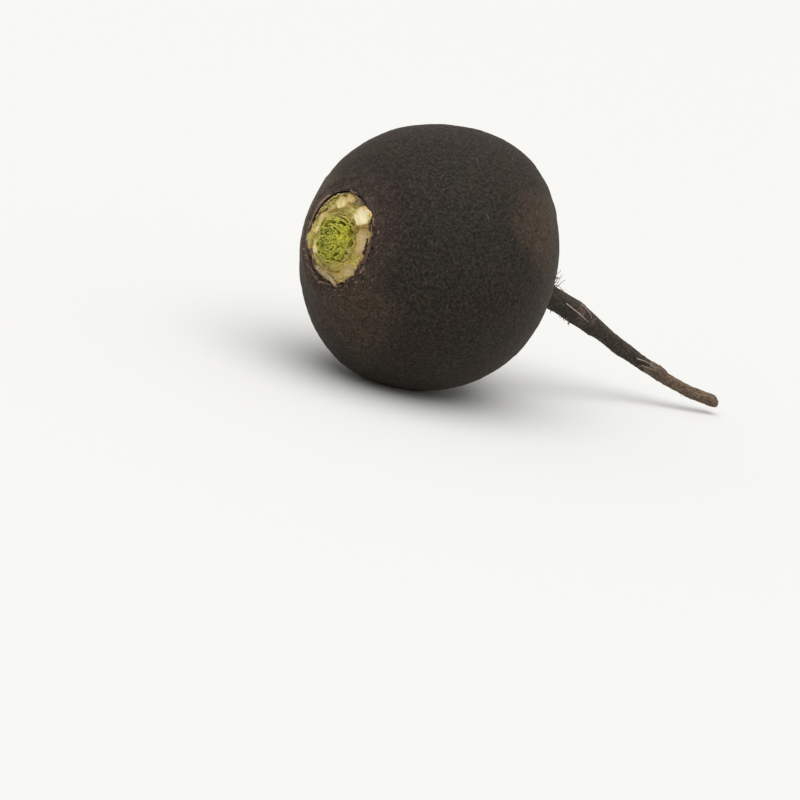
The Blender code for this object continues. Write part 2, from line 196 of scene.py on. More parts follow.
def smooth_skin(place, girth, swell, turn):
    """Points of the skin without its fine relief: out from the spine by the girth at this turn from the
    upper side, plus the knots of the tail, and then drawn out by the body's swellings."""
    tangent = unit(on_spine(place + MM) - on_spine(place - MM))
    above = unit(np.array([0, 0, 1]) - tangent[..., 2:] * tangent)
    beside = np.cross(above, tangent)
    for where, side, length, height in KNOTS:
        around = np.exp(KNOT_TIGHTNESS * (np.cos(turn - math.radians(side)) - 1))
        girth = girth + height * around * hill(place, where, length) * (girth > 0)
    out = np.cos(turn)[..., None] * above + np.sin(turn)[..., None] * beside
    surface = on_spine(place) + girth[..., None] * out
    return surface * (1 + swelling(unit(surface)) * swell)[..., None]


# The skin's fine relief, in millimetres: how high each kind stands, the steps of the rings round the crown
# and the neck, and where the torn edge and the edge of the tail's peeled bark are.
BROAD, DENTS, WRINKLES, LUMPS = 0.09, 0.05, 0.03, 0.04
SCARS, TORN, NECK_RINGS, PEEL = 0.1, 0.24, 0.07, 0.22
RIDGES, SMALL_RIDGES = 0.07, 0.04
SCAR_STEP = 0.95
NECK_RING_STEP = 1.3
TORN_EDGE = 15.2
PEEL_EDGE = 112


def skin_relief(points, place, radius, turn):
    """Height of the fine relief: broad unevenness, dents and wrinkles all over, scar rings and a torn edge
    round the crown, rings round the neck, and ridges that run down the tail."""
    place, radius = place / MM, radius / MM
    at_crown = place < 0
    on_tail = smoothstep(place, 42, 49)
    height = BROAD * waves(points, 26, 55, 10, 1) * (1 - 0.8 * on_tail)
    height += DENTS * waves(points, 6, 13, 24, 2)
    height += WRINKLES * waves(points, 2.0, 3.6, 40, 3) * (1 - 0.5 * on_tail)
    ringed = smoothstep(radius, 14.7, 15.4) * (1 - smoothstep(radius, 16.5, 23))
    patchy = 0.5 + 0.5 * np.tanh(1.4 * waves(points, 5, 12, 12, 4))
    phase = 2 * math.pi * radius / SCAR_STEP + 1.6 * waves(points, 6, 16, 12, 5)
    height += SCARS * np.sin(phase) * ringed * patchy * at_crown
    height += TORN * waves(points, 1.6, 4.5, 30, 6) * hill(radius, TORN_EDGE, 0.9) * at_crown
    phase = 2 * math.pi * (place - radius) / NECK_RING_STEP + 1.5 * waves(points, 5, 12, 12, 7)
    height += NECK_RINGS * np.sin(phase) * hill(place, 43, 4)
    phase = 5 * turn + 2.2 * waves(points, 14, 34, 10, 8)
    height += (RIDGES * np.sin(phase) + SMALL_RIDGES * np.sin(2.3 * phase + 1)) * on_tail
    height += LUMPS * waves(points, 1.3, 3.5, 40, 9) * on_tail
    edge = PEEL_EDGE + 0.5 * waves(points, 3, 8, 10, 10)
    height += (0.16 - PEEL * smoothstep(place, edge, edge + 0.9)) * smoothstep(place, 100, 110)
    return height * MM


def skin_grid(place, girth, swell, arc, columns):
    """The skin's points over these rings, with the fine relief added along the surface's normal, and the
    ringwise coordinates that the skin's markings follow, in millimetres: the distance down the skin from
    the crown, and the place in the ring."""
    turn = np.arange(columns) * 2 * math.pi / columns
    place, girth, swell, arc, turn = np.broadcast_arrays(
        place[:, None], girth[:, None], swell[:, None], arc[:, None], turn[None, :]
    )
    points = smooth_skin(place, girth, swell, turn)
    around = np.roll(points, -1, axis=1) - np.roll(points, 1, axis=1)
    normal = unit(np.cross(np.gradient(points, axis=0), around))
    points = points + skin_relief(points, place, girth, turn)[..., None] * normal + BODY_CENTRE
    points[..., 2] = np.maximum(points[..., 2], 0)
    ringwise = np.stack([arc, girth * np.cos(turn), girth * np.sin(turn)], -1) / MM
    return points, ringwise


def grid_faces(rows, columns, first=0, wrap=True):
    """The quads of a grid of points that are numbered row by row, closed round its columns if wrap."""
    row = np.arange(rows - 1)[:, None] * columns + first
    column = np.arange(columns if wrap else columns - 1)[None, :]
    beside = (column + 1) % columns
    corners = (row + column, row + columns + column, row + columns + beside, row + beside)
    return np.stack(corners, -1).reshape(-1, 4).tolist()


def triangles(first, second, third):
    """One triangle for each row of these corner numbers, any of which may be a single point."""
    return np.stack(np.broadcast_arrays(first, second, third), -1).tolist()


def new_object(name, data):
    thing = bpy.data.objects.new(name, data)
    bpy.context.scene.collection.objects.link(thing)
    return thing


def add_piece(name, points, faces, material, attributes):
    """Makes a smooth mesh with its points in place, gives it its attributes, and lets it ride."""
    mesh = bpy.data.meshes.new(name)
    mesh.from_pydata(points.tolist(), [], faces)
    mesh.materials.append(material)
    for label, values in attributes.items():
        kind, field = ("FLOAT", "value") if values.ndim == 1 else ("FLOAT_VECTOR", "vector")
        layer = mesh.attributes.new(label, kind, "POINT")
        layer.data.foreach_set(field, np.ascontiguousarray(values, dtype=np.float32).ravel())
    mesh.shade_smooth()
    piece = new_object(name, mesh)
    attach(piece, "root")
    return piece


def eye(red, green, blue):
    """The colour that looks like these 0 to 255 values, as the renderer's linear red, green, blue, alpha."""
    shares = (channel / 255 for channel in (red, green, blue))
    return (*(s / 12.92 if s < 0.04045 else ((s + 0.055) / 1.055) ** 2.4 for s in shares), 1)


def add_node(tree, kind, inputs=None, **settings):
    """Adds a node, and fills its inputs: one that is given a socket is linked, the others are set."""
    node = tree.nodes.new("ShaderNode" + kind)
    for name, value in settings.items():
        setattr(node, name, value)
    for key, value in (inputs or {}).items():
        if isinstance(value, bpy.types.NodeSocket):
            tree.links.new(value, node.inputs[key])
        else:
            node.inputs[key].default_value = value
    return node


def apply_node(kind, inputs, output=0, **settings):
    """Adds a node in the tree of the sockets that feed it, and gives one of its outputs."""
    tree = next(value.id_data for value in inputs.values() if isinstance(value, bpy.types.NodeSocket))
    return add_node(tree, kind, inputs, **settings).outputs[output]


def mix(share, first, second):
    return apply_node("Mix", {0: share, 6: first, 7: second}, 2, data_type="RGBA")


def spread(value, low, high, to_high=1.0, to_low=0.0):
    """The value where it runs smoothly from to_low at low to to_high at high."""
    limits = {"Value": value, "From Min": low, "From Max": high, "To Min": to_low, "To Max": to_high}
    return apply_node("MapRange", limits, interpolation_type="SMOOTHSTEP")


def lay_coats(colour, *coats):
    """The colour under some coats, each with its share, or what spread makes that from, and its shade."""
    for share, shade in coats:
        share = spread(*share) if isinstance(share, tuple) else share
        colour = mix(share, colour, shade)
    return colour


def calculate(operation, *values):
    return apply_node("Math", dict(enumerate(values)), operation=operation)


def times(first, second):
    return calculate("MULTIPLY", first, second)


def strongest(value, *others):
    for other in others:
        value = calculate("MAXIMUM", value, other)
    return value


def stretch(vector, scale):
    return apply_node("VectorMath", {0: vector, 1: scale}, operation="MULTIPLY")


def parts(vector):
    return add_node(vector.id_data, "SeparateXYZ", {0: vector}).outputs


def distance_to(place, point):
    return apply_node("VectorMath", {0: place, 1: tuple(point)}, "Value", operation="DISTANCE")


def noise(vector, size, detail=2.0, roughness=0.5):
    """Soft random values about 0.5, whose patches are about this size in the vector's own unit."""
    inputs = {"Vector": vector, "Scale": 1 / size, "Detail": detail, "Roughness": roughness}
    return apply_node("TexNoise", inputs)


def in_millimetres(tree):
    """The place in the object, in millimetres."""
    place = add_node(tree, "TexCoord").outputs["Object"]
    return stretch(place, (1000, 1000, 1000))


def attribute(tree, name, output="Vector"):
    return add_node(tree, "Attribute", attribute_name=name).outputs[output]


def new_material(name, roughness, **sockets):
    """A material with one Principled shader, whose uniform values are set on its own sockets."""
    material = bpy.data.materials.new(name)
    material.use_nodes = True
    tree = material.node_tree
    shader = tree.nodes["Principled BSDF"]
    shader.inputs["Roughness"].default_value = roughness
    for socket, value in sockets.items():
        shader.inputs[socket.replace("_", " ")].default_value = value
    return material, tree, shader


def finish_material(tree, shader, colour, depth, relief, *others):
    """Links the colour and the relief, to which each of the others adds its value times its weight. A
    height of 1 stands this deep in metres."""
    tree.links.new(colour, shader.inputs["Base Color"])
    for value, weight in others:
        relief = calculate("MULTIPLY_ADD", value, weight, relief)
    bump = add_node(tree, "Bump", {"Height": relief, "Distance": depth})
    tree.links.new(bump.outputs["Normal"], shader.inputs["Normal"])


def build_plant_grain():
    """The grain that skin, stalk and leaf share: soft mottling, a net of fine creases and sparse flecks."""
    group = bpy.data.node_groups.new("plant_grain", "ShaderNodeTree")
    group.interface.new_socket("Place", in_out="INPUT", socket_type="NodeSocketVector")
    group.interface.new_socket("Rate", in_out="INPUT", socket_type="NodeSocketFloat")
    for output in ("Mottle", "Creases", "Flecks"):
        group.interface.new_socket(output, in_out="OUTPUT", socket_type="NodeSocketFloat")
    given = group.nodes.new("NodeGroupInput").outputs
    place = apply_node("VectorMath", {0: given[0], "Scale": given[1]}, operation="SCALE")
    mottle = noise(place, 1.0, 4.0, 0.62)
    bend = apply_node("TexNoise", {"Vector": place, "Scale": 0.9, "Detail": 2.0}, "Color")
    bent = apply_node("VectorMath", {0: bend, 1: (1.1, 1.1, 1.1), 2: place}, operation="MULTIPLY_ADD")
    cells = {"Vector": bent, "Scale": 0.75}
    creases = apply_node("TexVoronoi", cells, "Distance", feature="DISTANCE_TO_EDGE")
    creases = spread(creases, 0.0, 0.17, 0.0, 1.0)
    flecks = spread(noise(place, 0.5, 2.0, 0.6), 0.62, 0.74)
    result = group.nodes.new("NodeGroupOutput")
    for k, socket in enumerate((mottle, creases, flecks)):
        group.links.new(socket, result.inputs[k])
    return group


plant_grain = build_plant_grain()


def grain(place, size):
    """Mottle, creases and flecks of the shared plant grain, at this size in millimetres."""
    inputs = {"Place": place, "Rate": 1 / size}
    return add_node(place.id_data, "Group", inputs, node_tree=plant_grain).outputs[:]


CHARCOAL = eye(32, 30, 27)
OLIVE_BLACK = eye(35, 32, 25)
PLUM_BLACK = eye(36, 28, 26)
EARTH_BROWN = eye(70, 55, 43)
CROWN_BROWN = eye(76, 60, 54)
MAUVE_BROWN = eye(88, 72, 64)
PALE_FLECK = eye(112, 99, 84)
TAIL_BLACK = eye(62, 56, 48)
TAIL_BROWN = eye(106, 88, 73)
TAIL_TAN = eye(136, 116, 96)
BARK_CRACK = eye(30, 24, 20)
PEELED_BARK = eye(112, 93, 88)
# Painted shade: a near-black for the gap at the foot of the crown's dish wall, under the ring of stalks.
DISH_GAP_SHADE = (0.006, 0.004, 0.003, 1)
CREASE_BLACK = (0.003, 0.0025, 0.002, 1)
BLACK = (0, 0, 0, 1)
SKIN_ROUGHNESS = 0.7
SKIN_DEPTH = 0.16 * MM
# Patches of browner skin, each the direction of its middle from the body's centre, its reach in millimetres
# and its colour: on the right flank, under the crown, on the far lower side and at the crown's left. Each is
# full within its heart, and noise moves its edge in and out.
BROWN_PATCHES = (
    ((0.3, -0.79, 0.53), 17, EARTH_BROWN),
    ((-0.87, -0.28, -0.4), 22, EARTH_BROWN),
    ((-0.2, 0.75, -0.4), 20, EARTH_BROWN),
    ((-0.87, 0.48, 0.06), 23, MAUVE_BROWN),
)
PATCH_HEART = 6
PATCH_RAGGEDNESS = 26
PATCH_FROM_CENTRE = 42
# The patch of peeled bark on the tail's near side: its place on the spine and its turn.
PEELED_PLACE = 72 * MM
PEELED_TURN = math.radians(-60)


def build_skin_material():
    """Charcoal skin with olive and plum tints, pale flecks and short pale arcs round the root, browner
    round the crown and in patches, and turning to tan down the tail."""
    material, tree, shader = new_material(
        "black_radish_skin", SKIN_ROUGHNESS, Specular_IOR_Level=0.13,
        Sheen_Weight=0.07, Sheen_Roughness=0.4, Sheen_Tint=eye(235, 210, 180),
    )
    place = in_millimetres(tree)
    ringwise = attribute(tree, "ringwise")
    arc = parts(ringwise)[0]
    mottle, creases, flecks = grain(place, 1.0)
    coarse, _, specks = grain(place, 2.6)
    tint = noise(place, 24, 3.0)
    olive = noise(stretch(place, (1, -1, 1)), 17, 3.0)
    uneven = spread(coarse, 0.32, 0.6, 1.0, 0.3)
    by_crown = times(spread(arc, 29, 17), uneven)
    colour = lay_coats(
        CHARCOAL,
        ((tint, 0.42, 0.62), PLUM_BLACK),
        ((olive, 0.48, 0.64), OLIVE_BLACK),
        (times(by_crown, 0.72), CROWN_BROWN),
    )
    brown = times(by_crown, 0.6)
    for heading, reach, shade in BROWN_PATCHES:
        gap = distance_to(place, BODY_CENTRE / MM + PATCH_FROM_CENTRE * np.array(heading))
        gap = calculate("MULTIPLY_ADD", tint, PATCH_RAGGEDNESS, gap)
        patch = spread(gap, PATCH_RAGGEDNESS / 2 + reach, PATCH_RAGGEDNESS / 2 + PATCH_HEART, 0.85)
        patch = times(patch, uneven)
        colour = mix(patch, colour, shade)
        brown = strongest(brown, patch)

    down_tail = calculate("ADD", arc, spread(coarse, 0.2, 0.8, 7, -7))
    torn_line = times(spread(down_tail, 190, 192), spread(down_tail, 195, 193))
    middle = np.array([PEELED_PLACE])
    middle = smooth_skin(middle, tail_radius(middle), 0 * middle, np.array([PEELED_TURN]))[0] + BODY_CENTRE
    peeled = spread(distance_to(place, middle / MM), 6, 3, 0.85)
    colour = lay_coats(
        colour,
        # Painted shade: the dish's floor and the foot of its wall turn near-black, so the gap under the
        # stalks reads as a dark crack.
        ((arc, 14.9, 14.4), DISH_GAP_SHADE),
        ((arc, 124, 142), TAIL_BLACK),
        ((down_tail, 188, 202), TAIL_BROWN),
        (times(peeled, spread(coarse, 0.4, 0.58)), PEELED_BARK),
    )

    darker = mix(0.38, colour, BLACK)
    lighter = mix(0.12, colour, PALE_FLECK)
    colour = mix(spread(mottle, 0.33, 0.69), darker, lighter)
    arcs = noise(stretch(ringwise, (2.6, 0.28, 0.28)), 1.0, 1.0)
    where = noise(place, 7, 1.0)
    arcs = times(spread(arcs, 0.68, 0.76), spread(where, 0.5, 0.64))
    light = strongest(
        times(flecks, calculate("ADD", brown, 0.3)),
        times(flecks, by_crown),
        times(torn_line, 0.7),
        times(specks, 0.16),
        times(arcs, 0.4),
    )
    bark = noise(stretch(ringwise, (0.6, 2.0, 2.0)), 1.0, 4.0, 0.7)
    on_bark = times(spread(bark, 0.5, 0.64, 0.75), spread(down_tail, 186, 204))
    in_bark = times(spread(bark, 0.46, 0.36, 0.6), spread(arc, 128, 150))
    colour = lay_coats(
        colour,
        (times(creases, 0.28), CREASE_BLACK),
        (light, PALE_FLECK),
        (on_bark, TAIL_TAN),
        (in_bark, BARK_CRACK),
    )
    rough_bark = (bark, spread(arc, 130, 150, 1.6))
    relief = (creases, -0.6), (coarse, 1.1), (arcs, 0.5), rough_bark
    finish_material(tree, shader, colour, SKIN_DEPTH, mottle, *relief)
    return material


def build_root():
    """The whole skin: rings over the crown's dish and lip, the body and the neck, then fewer points in
    each ring down the tail, with triangles where the two meet, and a point at each end."""
    wall = np.arange(14.2, 15.5, 0.1)
    crown = np.concatenate([[4, 8, 11, 13, 13.8], wall, np.arange(15.6, 18.4, 0.19), [18.5]]) * MM
    first = math.asin(CROWN_EDGE / GIRTH_RADIUS)
    neck = math.radians(160)
    angles = np.concatenate([np.linspace(first, neck, 119)[1:], np.linspace(neck, math.pi, 21)[1:]])
    place = -POLAR_RADIUS * np.cos(angles)
    girth = GIRTH_RADIUS * np.sin(angles)
    swell = np.where(
        angles < math.pi / 2,
        smoothstep(girth, CROWN_EDGE, 1.5 * CROWN_EDGE),
        1 - smoothstep(angles, math.radians(140), math.pi),
    )
    girth = np.where(angles > math.pi / 2, (girth**3 + tail_radius(place) ** 3) ** (1 / 3), girth)
    body_place = np.concatenate([-crown_profile(crown), place])
    body_girth = np.concatenate([crown, girth])
    body_swell = np.concatenate([np.zeros(len(crown)), swell])

    tip_start = TAIL_END - tail_radius(TAIL_END)
    bend = np.linspace(0, math.pi / 2, 9)[1:-1]
    tail_place = np.concatenate([
        POLAR_RADIUS + (tip_start - POLAR_RADIUS) * np.linspace(0, 1, 225)[1:],
        tip_start + (TAIL_END - tip_start) * np.sin(bend),
    ])
    tail_girth = tail_radius(tail_place)
    tail_girth[-len(bend):] = tail_radius(TAIL_END) * np.cos(bend) ** 0.7

    both_place = np.concatenate([body_place, tail_place])
    both_girth = np.concatenate([body_girth, tail_girth])
    steps = np.hypot(np.diff(both_place), np.diff(both_girth))
    arc = np.concatenate([[crown[0]], crown[0] + np.cumsum(steps)])
    body = skin_grid(body_place, body_girth, body_swell, arc[: len(body_place)], BODY_COLUMNS)
    tail = skin_grid(tail_place, tail_girth, 0 * tail_place, arc[len(body_place):], TAIL_COLUMNS)

    ends = BODY_CENTRE + np.array([OUTWARD * DISH_FLOOR, spine[-1]])
    end_ringwise = np.array([[0, 0, 0], [arc[-1] / MM, 0, 0]])
    points = np.concatenate([body[0].reshape(-1, 3), tail[0].reshape(-1, 3), ends])
    ringwise = np.concatenate([body[1].reshape(-1, 3), tail[1].reshape(-1, 3), end_ringwise])

    body_count = len(body_place) * BODY_COLUMNS
    crown_end, tail_tip = len(points) - 2, len(points) - 1
    faces = grid_faces(len(body_place), BODY_COLUMNS)
    faces += grid_faces(len(tail_place), TAIL_COLUMNS, body_count)
    fine, coarse = np.arange(BODY_COLUMNS), np.arange(TAIL_COLUMNS)
    next_fine, next_coarse = np.roll(fine, -1), np.roll(coarse, -1)
    faces += triangles(crown_end, fine, next_fine)
    last_ring = crown_end - TAIL_COLUMNS
    faces += triangles(tail_tip, last_ring + next_coarse, last_ring + coarse)
    # Each point of the tail's first ring meets the six points of the body's last ring nearest to it.
    ratio = BODY_COLUMNS // TAIL_COLUMNS
    body_ring = body_count - BODY_COLUMNS
    nearest = body_count + ((fine + ratio // 2) // ratio) % TAIL_COLUMNS
    faces += triangles(body_ring + fine, nearest, body_ring + next_fine)
    between = body_ring + (coarse * ratio + ratio // 2) % BODY_COLUMNS
    faces += triangles(between, body_count + coarse, body_count + next_coarse)
    skin = build_skin_material()
    root = add_piece("radish_root", points, faces, skin, {"ringwise": ringwise})
    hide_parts("taproot")


build_root()


# The crown's cut leaf stalks. Each leaf's juicy stalk was cut off just above the root, which left a cream
# or tan face with an olive rind. They stand in a ring, grown together on one plate of stem, and the plate's
# rim is dry tissue that meets the skin.

PLATE_TOP = 38.9 * MM
SOCKET_FLOOR = 38.2 * MM
SOCKET_RADIUS = 7.6 * MM
RIM_HEIGHT = 39.5 * MM
# The heart's middle, to the right and up from the ring's.
HEART_RIGHT = -0.9 * MM
HEART_UP = -1.3 * MM

CREAM = eye(216, 199, 142)[:3]
DULL_CREAM = eye(202, 183, 123)[:3]
WHITE = eye(224, 211, 168)[:3]
TAN = eye(180, 156, 98)[:3]
STRAW = eye(188, 166, 100)[:3]
DULL_STRAW = eye(168, 145, 88)[:3]
GREYED = eye(168, 150, 104)[:3]
OLIVE = eye(160, 150, 76)[:3]
RIBBED = eye(150, 140, 52)[:3]
DRIED = eye(88, 66, 54)[:3]
# Each stalk is its turn in degrees, its distance from the axis, its width, depth and height, the outward
# tilt of its cut in degrees, and the colour of its cut face.
STALKS_MM = (
    (-19, 10.9, 5.4, 3.6, 2.1, 16, DULL_CREAM),
    (-3, 12.7, 4.4, 2.8, 1.4, 22, STRAW),
    (16, 12.7, 4.8, 2.8, 1.1, 26, DRIED),
    (42, 11.9, 6.7, 5.6, 2.5, 8, WHITE),
    (80, 11.2, 9.4, 4.6, 1.7, 20, TAN),
    (139, 12.0, 7.2, 4.2, 1.4, 20, DULL_STRAW),
    (180, 12.4, 9.2, 2.6, 1.4, 22, GREYED),
    (-124, 10.3, 5.0, 3.0, 2.1, 14, CREAM),
    (-83, 11.2, 7.0, 2.7, 1.7, 20, CREAM),
    (-43, 11.0, 4.6, 2.8, 1.4, 24, OLIVE),
    (-108, 13.5, 6.2, 2.3, 1.8, 10, OLIVE),
    (165, 8.6, 5.0, 2.6, 2.3, 8, RIBBED),
    (-150, 9.2, 3.2, 2.4, 1.9, 12, RIBBED),
)
# Where the living ring ends and the dry rim starts: turns in degrees, and radii in millimetres.
RIM_TURNS = (-180, -163, -126, -101, -61, -40, -22, 4, 20, 37, 60, 90, 112, 124, 140, 157, 180)
RIM_RADII = (
    13.6, 12.8, 13.4, 14.9, 12.4, 12.9, 13.6, 14.2, 13.6, 15.4, 14.0, 13.5, 12.8, 12.9, 14.2, 14.4, 13.8
)
# Where the ring bulges out over the skin: the middle and spread of its turns in degrees, and how far.
OVERHANGS = ((42, 15, 1.1 * MM), (252, 15, 0.7 * MM))
# The ring's underside, each step its radius and its height in millimetres.
UNDERSIDE_MM = ((14.3, 39.0), (14.3, 38.2), (14.1, 37.7), (13.5, 37.6), (8, 37.6), (0.2, 37.6))
PAD_SQUARENESS = 2.6
RING_COLUMNS = 600


def crown_points(right, up, out):
    """Points from their places right, up and out from the body's centre, as seen by someone who looks at
    the crown."""
    return BODY_CENTRE + right[..., None] * RIGHTWARD + up[..., None] * UPWARD + out[..., None] * OUTWARD


def round_crown(radius, turn, out, right=0, up=0):
    """Crown points from their radius and turn about a middle that is this far right and up of the axis."""
    return crown_points(right + radius * np.sin(turn), up + radius * np.cos(turn), out)


def ring_surface():
    """The ring as one closed surface of turned rings: the floor under the heart, the stalks as rounded
    pads with soft edges and tilted tops, the lumpy tissue that joins them, the dry rim, and the underside.

    Gives the points, how much each lies on a cut face, how deep in that face, how much it lies on the dry
    rim, and the colour of the stalk that it is nearest to."""
    radius = np.concatenate([[0.2, 3, 6], np.arange(7.0, 14.3, 0.1)])[:, None] * MM
    turn = (np.arange(RING_COLUMNS) * 2 * math.pi / RING_COLUMNS)[None, :]
    near_rim = smoothstep(radius, 11 * MM, 14.2 * MM)
    for at, turn_spread, overhang in OVERHANGS:
        radius = radius + overhang * hill(np.degrees(turn), at, turn_spread) * near_rim
    right, up = radius * np.sin(turn), radius * np.cos(turn)
    flat = crown_points(right, up, 0 * right + PLATE_TOP)
    from_heart = np.hypot(right - HEART_RIGHT, up - HEART_UP)
    degrees = (np.degrees(turn) + 180) % 360 - 180
    edge = (np.interp(degrees, RIM_TURNS, RIM_RADII) + 0.35 * waves(flat, 1.5, 5, 16, 24)) * MM
    rim = smoothstep(radius, edge - 0.15 * MM, edge + 0.25 * MM)

    wall = smoothstep(from_heart, SOCKET_RADIUS - 0.5 * MM, SOCKET_RADIUS + 0.7 * MM)
    around_heart = 2 * math.pi * from_heart / (0.75 * MM) + 1.8 * waves(flat, 3, 8, 12, 22)
    lumps = 0.25 + 0.22 * waves(flat, 1.4, 4, 30, 20) + 0.12 * np.sin(around_heart)
    height = SOCKET_FLOOR + (PLATE_TOP + lumps * MM - SOCKET_FLOOR) * wall
    dry = RIM_HEIGHT + 0.22 * MM * waves(flat, 0.9, 3, 30, 26)
    height = height + (dry - height) * rim

    best, core, flesh = 0 * right, 0 * right, np.tile(OLIVE, (*right.shape, 1))
    for index, (at, distance, width, depth, tall, tilt, colour) in enumerate(STALKS_MM):
        distance, width, depth, tall = (size * MM for size in (distance, width, depth, tall))
        away = (degrees - at + 180) % 360 - 180
        across = np.radians(away) * distance / (width / 2)
        reach = radius - distance
        wobble = 0.1 * waves(flat, 2.5, 6, 10, 60 + index) + 0.03 * waves(flat, 0.7, 1.5, 20, 90 + index)
        oblong = np.abs(across) ** PAD_SQUARENESS + np.abs(reach / (depth / 2)) ** PAD_SQUARENESS
        oblong = oblong ** (1 / PAD_SQUARENESS) + wobble
        pad = 1 - smoothstep(oblong, 0.93, 1.2)
        top = PLATE_TOP + tall - np.maximum(reach + depth / 2, 0) * math.tan(math.radians(tilt))
        top = top + 0.12 * MM * waves(flat, 2, 5, 12, 120 + index)
        top = top - 0.25 * MM * (1 - np.minimum(oblong, 1) ** 2)
        height = np.maximum(height, height + (top - height) * pad)
        flesh = np.where((pad > best)[..., None], colour, flesh)
        best = np.maximum(best, pad)
        core = np.maximum(core, 1 - np.minimum(oblong, 1))
    height = height + 0.035 * MM * waves(flat, 0.5, 1.3, 30, 28) * wall
    under = np.array(UNDERSIDE_MM) * MM
    right = np.concatenate([right, under[:, :1] * np.sin(turn)])
    up = np.concatenate([up, under[:, :1] * np.cos(turn)])
    height = np.concatenate([height, under[:, 1:] + 0 * turn])
    below = ((0, len(under)), (0, 0))
    cut = np.pad(smoothstep(best, 0.45, 0.95), below)
    rim = np.pad(rim * (1 - smoothstep(best, 0.3, 0.7)), below, mode="edge")
    flesh = np.concatenate([flesh, np.tile(OLIVE, (len(under), RING_COLUMNS, 1))])
    return crown_points(right, up, height), cut, np.pad(core, below), rim, flesh


def closed_rings(rings):
    """The points and faces of a stack of rings, closed by a fan at each end whose middle point is added."""
    rows, columns = rings.shape[:2]
    column = np.arange(columns)
    beside = np.roll(column, -1)
    last = (rows - 1) * columns
    faces = grid_faces(rows, columns)
    faces += triangles(rows * columns, column, beside)
    faces += triangles(rows * columns + 1, last + beside, last + column)
    return np.concatenate([rings.reshape(-1, 3), rings[:1].mean(axis=1), rings[-1:].mean(axis=1)]), faces


def build_stalk_material():
    """Wet cut flesh with faint fibres and tan stains, drying to orange-brown at its edge, between rinds of
    straw and olive with fibres round the heart, and a dark brown dry rim."""
    material, tree, shader = new_material(
        "cut_leaf_stalk", 0.5, Specular_IOR_Level=0.35, Subsurface_Weight=0.2, Subsurface_Scale=0.8 * MM,
        Subsurface_Radius=(1.0, 0.8, 0.4),
    )
    place = in_millimetres(tree)
    mottle, creases, flecks = grain(place, 0.7)
    coarse, _, _ = grain(place, 2.2)
    cut, core, rim = (attribute(tree, name, "Fac") for name in ("cut", "core", "rim"))
    middle = BODY_CENTRE + HEART_RIGHT * RIGHTWARD + HEART_UP * UPWARD + PLATE_TOP * OUTWARD
    bands = apply_node("CombineXYZ", {0: distance_to(place, middle / MM)})
    bands = apply_node("VectorMath", {0: bands, 1: stretch(place, (0.12,) * 3)})
    fibres = noise(stretch(bands, (1.6, 1.6, 1.6)), 1.0, 3.0)
    green = noise(place, 3.2, 2.0)

    rind = lay_coats(
        eye(164, 152, 56),
        ((coarse, 0.38, 0.58), eye(204, 186, 106)),
        ((fibres, 0.48, 0.6, 0.75), eye(218, 202, 134)),
        ((fibres, 0.44, 0.36, 0.7), eye(112, 104, 40)),
        ((mottle, 0.58, 0.76, 0.5), eye(104, 82, 46)),
    )
    edge = times(spread(cut, 0.05, 0.4), spread(core, 0.24, 0.04))
    edge = times(edge, spread(coarse, 0.36, 0.56, 0.85, 0.1))
    stain = times(spread(coarse, 0.54, 0.68, 0.45), spread(core, 0.6, 0.2))
    dry = lay_coats(
        eye(60, 46, 36),
        ((coarse, 0.4, 0.62), eye(104, 82, 60)),
        (times(flecks, 0.7), eye(150, 130, 96)),
    )
    colour = lay_coats(
        rind,
        (cut, attribute(tree, "flesh")),
        (edge, eye(184, 138, 72)),
        ((core, 0.2, 0.75, 0.18), eye(246, 234, 190)),
        (stain, eye(164, 136, 76)),
        ((green, 0.5, 0.66, 0.45), eye(176, 168, 78)),
        (times(creases, 0.12), eye(124, 100, 54)),
        (times(flecks, 0.25), eye(236, 226, 186)),
        (rim, dry),
    )
    finish_material(tree, shader, colour, 0.1 * MM, mottle, (creases, -0.6), (fibres, 1.5))
    return material


def build_stalks():
    """The ring of cut stalks as one closed mesh, with the values that its colours follow."""
    rings, *values, flesh = ring_surface()
    points, faces = closed_rings(rings)
    attributes = {name: np.append(value, [0, 0]) for name, value in zip(("cut", "core", "rim"), values)}
    attributes["flesh"] = np.concatenate([flesh.reshape(-1, 3), [OLIVE, OLIVE]])
    stalks = add_piece("cut_leaf_stalks", points, faces, build_stalk_material(), attributes)
    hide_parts("leaf_stalk_stubs")


build_stalks()


# The heart. The youngest leaves were left standing in the middle of the crown: a tight rosette of small
# crinkled blades that overlap, yellow-green at the right and greyer in the middle, round a low core.

HEART_BASE = 38.5 * MM
HEART_RADIUS = 7.2 * MM
CORE_RADIUS = 6.6 * MM
CORE_HEIGHT = 3.8 * MM
LEAF_COUNT = 115
LEAF_ROWS = 12
LEAF_COLUMNS = 19
GOLDEN_ANGLE = math.pi * (3 - math.sqrt(5))
LEAF_SPREAD = 6.8 * MM
LEAF_SINK = 1.15 * MM
LEAF_CURL = math.radians(75)
CRINKLE_LENGTH = 0.8 * MM
VEIN_PACE = 34
VEIN_SLANT = -0.55


def blade_grid(rows, columns):
    """The places up and across a blade, from 0 to 1 and from -1 to 1, as arrays (blade, up, across)."""
    return np.linspace(0, 1, rows)[None, :, None], np.linspace(-1, 1, columns)[None, None, :]


def drawing(rng, count):
    """A function that draws a value between two limits for each of this many blades."""
    return lambda low, high: rng.uniform(low, high, count)[:, None, None]


def blade_values(across, up, third):
    """The blade attribute: the place across and up the blade, and a value of the blade's own."""
    return np.stack(np.broadcast_arrays(across, up, third), -1)


